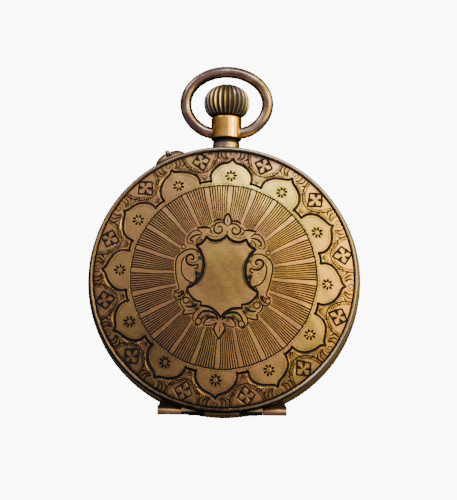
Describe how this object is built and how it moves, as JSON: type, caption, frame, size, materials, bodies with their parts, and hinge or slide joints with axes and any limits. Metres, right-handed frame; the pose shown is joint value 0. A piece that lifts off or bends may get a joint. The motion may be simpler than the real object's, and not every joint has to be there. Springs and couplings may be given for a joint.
{
  "type": "pocket watch",
  "caption": "Open-face pocket watch with an engraved hinged back, stem winding, a side setting pin, a swinging bow and its lever movement.",
  "frame": {"origin": "centre of the crystal's flat outer face, on which the watch lies", "axes": "+Z runs out through the back cover, +Y runs from the centre to the pendant and crown, +X is to the right seen from the back"},
  "size_m": [0.05, 0.066, 0.014],
  "materials": {
    "aged_brass": "engraved, worn golden brown brass with dark patina in the recesses",
    "aged_bronze": "smooth, worn copper-brown",
    "gilt_brass": "frosted gilding",
    "steel": "polished",
    "blued_steel": "heat blued",
    "enamel": "fired white enamel",
    "crystal_glass": "clear, polished",
    "ruby": "polished red stone"
  },
  "bodies": {
    "case": {"case_middle": "aged_bronze", "pendant": "aged_brass", "hinge_knuckle_left": "aged_brass", "hinge_knuckle_right": "aged_brass", "cover_hinge_pin": "steel", "bezel_knuckle_left": "aged_brass", "bezel_knuckle_right": "aged_brass", "bezel_hinge_pin": "steel", "pin_guard": "aged_brass", "dial": "enamel", "seconds_dial": "enamel", "main_plate": "gilt_brass", "barrel_bridge": "gilt_brass", "centre_bridge": "gilt_brass", "third_wheel_cock": "gilt_brass", "fourth_wheel_cock": "gilt_brass", "escape_wheel_cock": "gilt_brass", "pallet_cock": "gilt_brass", "balance_cock": "gilt_brass", "hairspring": "blued_steel", "cap_jewel_setting": "ruby", "click_spring": "blued_steel", "crown_wheel_core": "steel", "case_screw_left": "blued_steel", "case_screw_right": "blued_steel", "barrel_bridge_screw": "blued_steel", "balance_cock_screw": "blued_steel"},
    "back_cover": {"back_cover": "aged_brass"},
    "cuvette": {"cuvette": "gilt_brass"},
    "bezel": {"bezel": "aged_brass", "crystal": "crystal_glass"},
    "bow": {"bow": "aged_bronze"},
    "crown": {"crown": "aged_bronze", "winding_stem": "steel", "winding_pinion": "steel"},
    "clutch": {"clutch_wheel": "steel"},
    "setting_pin": {"setting_pin": "aged_bronze"},
    "setting_lever": {"setting_lever": "steel"},
    "fourth": {"fourth_wheel": "gilt_brass", "seconds_hand": "blued_steel"},
    "centre": {"centre_wheel": "gilt_brass", "cannon_pinion": "steel", "minute_hand": "blued_steel"},
    "hour": {"hour_wheel": "gilt_brass", "hour_hand": "blued_steel"},
    "minute": {"minute_wheel": "gilt_brass"},
    "setting_wheel": {"setting_wheel": "steel"},
    "third": {"third_wheel": "gilt_brass"},
    "escape": {"escape_wheel": "steel"},
    "barrel": {"barrel_drum": "gilt_brass", "barrel_cover": "gilt_brass", "mainspring": "steel"},
    "arbor": {"barrel_arbor": "steel", "ratchet_wheel": "steel"},
    "crown_wheel": {"crown_wheel": "steel"},
    "click": {"click": "steel"},
    "pallets": {"pallet_fork": "steel"},
    "balance": {"balance_wheel": "gilt_brass", "balance_staff": "steel"},
    "regulator": {"regulator": "steel"}
  },
  "joints": [
    {"name": "back_cover_hinge", "type": "hinge", "parent": "case", "child": "back_cover", "pos_m": [0, -0.0242, 0.0091], "axis": [1, 0, 0], "range_deg": [0, 105]},
    {"name": "cuvette_hinge", "type": "hinge", "parent": "case", "child": "cuvette", "pos_m": [0, -0.0242, 0.0091], "axis": [1, 0, 0], "range_deg": [0, 90]},
    {"name": "bezel_hinge", "type": "hinge", "parent": "case", "child": "bezel", "pos_m": [0, -0.0237, 0.00295], "axis": [-1, 0, 0], "range_deg": [0, 100]},
    {"name": "bow_hinge", "type": "hinge", "parent": "case", "child": "bow", "pos_m": [0, 0.0283, 0.0063], "axis": [1, 0, 0], "range_deg": [-110, 110]},
    {"name": "crown_turn", "type": "hinge", "parent": "case", "child": "crown", "pos_m": [0, 0.0341, 0.0063], "axis": [0, 1, 0], "continuous": true},
    {"name": "setting_pin_push", "type": "slide", "parent": "case", "child": "setting_pin", "axis": [0.4099, -0.9121, 0], "range_m": [0, 0.0006], "stiffness_N_per_m": 1500, "springref_m": -0.0004},
    {"name": "setting_lever_turn", "type": "hinge", "parent": "case", "child": "setting_lever", "pos_m": [0.0064, 0.0163, 0.0075], "axis": [0, 0, 1], "range_deg": [0, 3.5]},
    {"name": "clutch_slide", "type": "slide", "parent": "crown", "child": "clutch", "axis": [0, -1, 0], "range_m": [0, 0.0004]},
    {"name": "fourth_turn", "type": "hinge", "parent": "case", "child": "fourth", "pos_m": [0, -0.011, 0.0065], "axis": [0, 0, 1], "continuous": true},
    {"name": "centre_turn", "type": "hinge", "parent": "case", "child": "centre", "pos_m": [0, 0, 0.0055], "axis": [0, 0, 1], "continuous": true},
    {"name": "hour_turn", "type": "hinge", "parent": "case", "child": "hour", "pos_m": [0, 0, 0.0037], "axis": [0, 0, 1], "continuous": true},
    {"name": "minute_turn", "type": "hinge", "parent": "case", "child": "minute", "pos_m": [0.001, 0.00516, 0.0041], "axis": [0, 0, 1], "continuous": true},
    {"name": "setting_wheel_turn", "type": "hinge", "parent": "case", "child": "setting_wheel", "pos_m": [0.00059, 0.01311, 0.0041], "axis": [0, 0, 1], "continuous": true},
    {"name": "third_turn", "type": "hinge", "parent": "case", "child": "third", "pos_m": [0.00547, -0.00632, 0.0074], "axis": [0, 0, 1], "continuous": true},
    {"name": "escape_turn", "type": "hinge", "parent": "case", "child": "escape", "pos_m": [-0.0056, -0.01304, 0.00715], "axis": [0, 0, 1], "continuous": true},
    {"name": "barrel_turn", "type": "hinge", "parent": "case", "child": "barrel", "pos_m": [-0.00725, 0.00725, 0.0072], "axis": [0, 0, 1], "continuous": true},
    {"name": "arbor_turn", "type": "hinge", "parent": "case", "child": "arbor", "pos_m": [-0.00725, 0.00725, 0.0096], "axis": [0, 0, 1], "continuous": true},
    {"name": "crown_wheel_turn", "type": "hinge", "parent": "case", "child": "crown_wheel", "pos_m": [0, 0.01301, 0.0096], "axis": [0, 0, 1], "continuous": true},
    {"name": "click_turn", "type": "hinge", "parent": "case", "child": "click", "pos_m": [-0.0136, 0.0084, 0.0096], "axis": [0, 0, -1], "range_deg": [0, 12], "stiffness_Nm_per_rad": 0.0005, "springref_deg": -11.46},
    {"name": "pallet_swing", "type": "hinge", "parent": "case", "child": "pallets", "pos_m": [-0.00849, -0.01072, 0.00715], "axis": [0, 0, 1], "range_deg": [-5, 5]},
    {"name": "balance_swing", "type": "hinge", "parent": "case", "child": "balance", "pos_m": [-0.0125, -0.0075, 0.0083], "axis": [0, 0, 1], "range_deg": [-270, 270], "stiffness_Nm_per_rad": 0.0000005},
    {"name": "regulator_turn", "type": "hinge", "parent": "case", "child": "regulator", "pos_m": [-0.0125, -0.0075, 0.00995], "axis": [0, 0, 1], "range_deg": [-20, 20]}
  ],
  "couplings": [
    {"joint": "cuvette_hinge", "follows": "back_cover_hinge", "ratio": 0.85},
    {"joint": "setting_lever_turn", "follows": "setting_pin_push", "rad_per_m": 80},
    {"joint": "clutch_slide", "follows": "setting_pin_push", "ratio": 0.51},
    {"joint": "crown_wheel_turn", "follows": "crown_turn", "ratio": -0.5},
    {"joint": "arbor_turn", "follows": "crown_turn", "ratio": 0.5},
    {"joint": "third_turn", "follows": "fourth_turn", "ratio": -0.13333},
    {"joint": "centre_turn", "follows": "fourth_turn", "ratio": 0.016667},
    {"joint": "hour_turn", "follows": "fourth_turn", "ratio": 0.0013889},
    {"joint": "minute_turn", "follows": "fourth_turn", "ratio": -0.0055556},
    {"joint": "setting_wheel_turn", "follows": "fourth_turn", "ratio": 0.0054171},
    {"joint": "escape_turn", "follows": "fourth_turn", "ratio": -10},
    {"joint": "barrel_turn", "follows": "fourth_turn", "ratio": -0.0020833}
  ]
}
